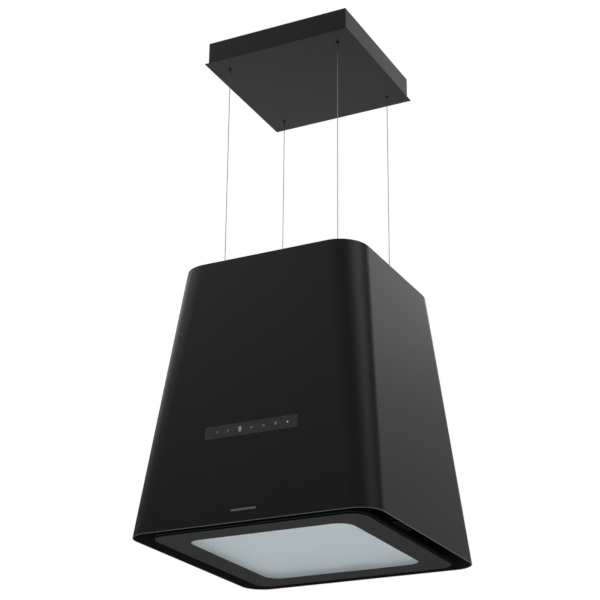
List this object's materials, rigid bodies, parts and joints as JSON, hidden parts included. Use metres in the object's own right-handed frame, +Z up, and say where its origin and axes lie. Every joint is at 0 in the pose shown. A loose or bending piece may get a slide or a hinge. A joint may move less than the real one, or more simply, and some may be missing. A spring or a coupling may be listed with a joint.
{
  "type": "island range hood",
  "caption": "Black tapered island range hood hung on wires from a square ceiling canopy, with a drop-down light panel, filters and blower.",
  "frame": {"origin": "centre of the ceiling mounting face", "axes": "+Z up, through the ceiling face; -Y towards the control strip; +X to the right seen from the control side"},
  "size_m": [0.5, 0.5, 1.0672],
  "materials": {
    "powder_black": "fine matt powder coat",
    "galvanised": "bright galvanised sheet",
    "stainless": "turned and polished stainless steel",
    "wire": "stranded stainless wire",
    "black_nylon": "moulded matt nylon",
    "rubber": "soft black rubber",
    "magnet": "nickel plated",
    "touch_glass": "smoked glass strip with faint icons",
    "panel_glass": "black back-printed glass, satin face",
    "frosted_glass": "frosted light window",
    "white_reflector": "white reflector",
    "led_strip": "LED strip boards",
    "circuit_board": "green solder mask",
    "badge": "plain satin bar",
    "filter_mesh": "layered expanded aluminium, dark finish",
    "charcoal_case": "black cartridge"
  },
  "bodies": {
    "root": {"mounting_plate": "galvanised", "canopy_walls": "powder_black", "canopy_lid": "powder_black", "lid_grommets": "rubber", "lid_magnets": "magnet", "canopy_screws": "stainless", "terminal_block": "black_nylon", "upper_sockets": "stainless", "upper_socket_nuts": "stainless"},
    "swivel_1": {"swivel_ball_1": "stainless"},
    "swivel_2": {"swivel_ball_2": "stainless"},
    "swivel_3": {"swivel_ball_3": "stainless"},
    "swivel_4": {"swivel_ball_4": "stainless"},
    "wire_1": {"wire_rope_1": "wire"},
    "wire_2": {"wire_rope_2": "wire"},
    "wire_3": {"wire_rope_3": "wire"},
    "wire_4": {"wire_rope_4": "wire"},
    "anchor_1": {"anchor_ball_first": "stainless"},
    "hood": {"outer_shell": "powder_black", "top_plate": "powder_black", "intake_plate": "powder_black", "outlet_grille": "powder_black", "grille_screws": "stainless", "cable_gland": "black_nylon", "anchor_sockets": "stainless", "anchor_nuts": "stainless", "anchor_balls_other": "stainless", "touch_glass": "touch_glass", "touch_housing": "black_nylon", "touch_board": "circuit_board", "blank_badge": "badge", "control_box": "black_nylon", "control_board": "circuit_board", "led_driver": "galvanised", "motor_capacitor": "galvanised", "grease_filter_frame": "powder_black", "grease_filter_mesh": "filter_mesh", "latch_spring": "stainless", "outlet_duct": "galvanised", "motor": "galvanised", "motor_spider": "galvanised", "filter_collars": "black_nylon", "blower_housing_left": "black_nylon", "blower_housing_right": "black_nylon", "hinge_brackets": "powder_black", "hinge_pins": "stainless", "catch_brackets": "powder_black", "catch_magnets": "magnet"},
    "latch": {"filter_latch": "black_nylon"},
    "wheel": {"impeller": "black_nylon", "motor_shaft": "stainless"},
    "charcoal_left": {"charcoal_filter_left": "charcoal_case"},
    "charcoal_right": {"charcoal_filter_right": "charcoal_case"},
    "light_panel": {"panel_glass": "panel_glass", "window_glass": "frosted_glass", "panel_tray": "powder_black", "light_chamber": "white_reflector", "led_strips": "led_strip", "striker_plates": "stainless", "hinge_ears": "powder_black"}
  },
  "joints": [
    {"name": "sway_sideways", "type": "hinge", "parent": "root", "child": "swivel_1", "pos_m": [-0.124, -0.124, -0.026], "axis": [0, 1, 0], "range_deg": [-3, 3]},
    {"name": "sway_fore_aft", "type": "hinge", "parent": "swivel_1", "child": "wire_1", "pos_m": [-0.124, -0.124, -0.026], "axis": [1, 0, 0], "range_deg": [-3, 3]},
    {"name": "swivel_turn_2", "type": "hinge", "parent": "root", "child": "swivel_2", "pos_m": [0.124, -0.124, -0.026], "axis": [0, 1, 0], "range_deg": [-3, 3]},
    {"name": "wire_turn_2", "type": "hinge", "parent": "swivel_2", "child": "wire_2", "pos_m": [0.124, -0.124, -0.026], "axis": [1, 0, 0], "range_deg": [-3, 3]},
    {"name": "swivel_turn_3", "type": "hinge", "parent": "root", "child": "swivel_3", "pos_m": [0.124, 0.124, -0.026], "axis": [0, 1, 0], "range_deg": [-3, 3]},
    {"name": "wire_turn_3", "type": "hinge", "parent": "swivel_3", "child": "wire_3", "pos_m": [0.124, 0.124, -0.026], "axis": [1, 0, 0], "range_deg": [-3, 3]},
    {"name": "swivel_turn_4", "type": "hinge", "parent": "root", "child": "swivel_4", "pos_m": [-0.124, 0.124, -0.026], "axis": [0, 1, 0], "range_deg": [-3, 3]},
    {"name": "wire_turn_4", "type": "hinge", "parent": "swivel_4", "child": "wire_4", "pos_m": [-0.124, 0.124, -0.026], "axis": [1, 0, 0], "range_deg": [-3, 3]},
    {"name": "level_fore_aft", "type": "hinge", "parent": "wire_1", "child": "anchor_1", "pos_m": [-0.124, -0.124, -0.553], "axis": [1, 0, 0], "range_deg": [-3, 3]},
    {"name": "level_sideways", "type": "hinge", "parent": "anchor_1", "child": "hood", "pos_m": [-0.124, -0.124, -0.553], "axis": [0, 1, 0], "range_deg": [-3, 3]},
    {"name": "panel_hinge", "type": "hinge", "parent": "hood", "child": "light_panel", "pos_m": [0, 0.2, -1.042], "axis": [1, 0, 0], "range_deg": [0, 90]},
    {"name": "impeller_spin", "type": "hinge", "parent": "hood", "child": "wheel", "pos_m": [0, 0.0625, -0.791], "axis": [1, 0, 0], "continuous": true},
    {"name": "charcoal_left_twist", "type": "hinge", "parent": "hood", "child": "charcoal_left", "pos_m": [0, 0.0625, -0.791], "axis": [1, 0, 0], "range_deg": [0, 30]},
    {"name": "charcoal_right_twist", "type": "hinge", "parent": "hood", "child": "charcoal_right", "pos_m": [0, 0.0625, -0.791], "axis": [1, 0, 0], "range_deg": [-30, 0]},
    {"name": "filter_latch_slide", "type": "slide", "parent": "hood", "child": "latch", "axis": [0, 1, 0], "range_m": [0, 0.007], "stiffness_N_per_m": 250, "springref_m": -0.004}
  ],
  "couplings": [
    {"joint": "swivel_turn_2", "follows": "sway_sideways", "ratio": 1},
    {"joint": "wire_turn_2", "follows": "sway_fore_aft", "ratio": 1},
    {"joint": "swivel_turn_3", "follows": "sway_sideways", "ratio": 1},
    {"joint": "wire_turn_3", "follows": "sway_fore_aft", "ratio": 1},
    {"joint": "swivel_turn_4", "follows": "sway_sideways", "ratio": 1},
    {"joint": "wire_turn_4", "follows": "sway_fore_aft", "ratio": 1},
    {"joint": "level_fore_aft", "follows": "sway_fore_aft", "ratio": -1},
    {"joint": "level_sideways", "follows": "sway_sideways", "ratio": -1}
  ]
}
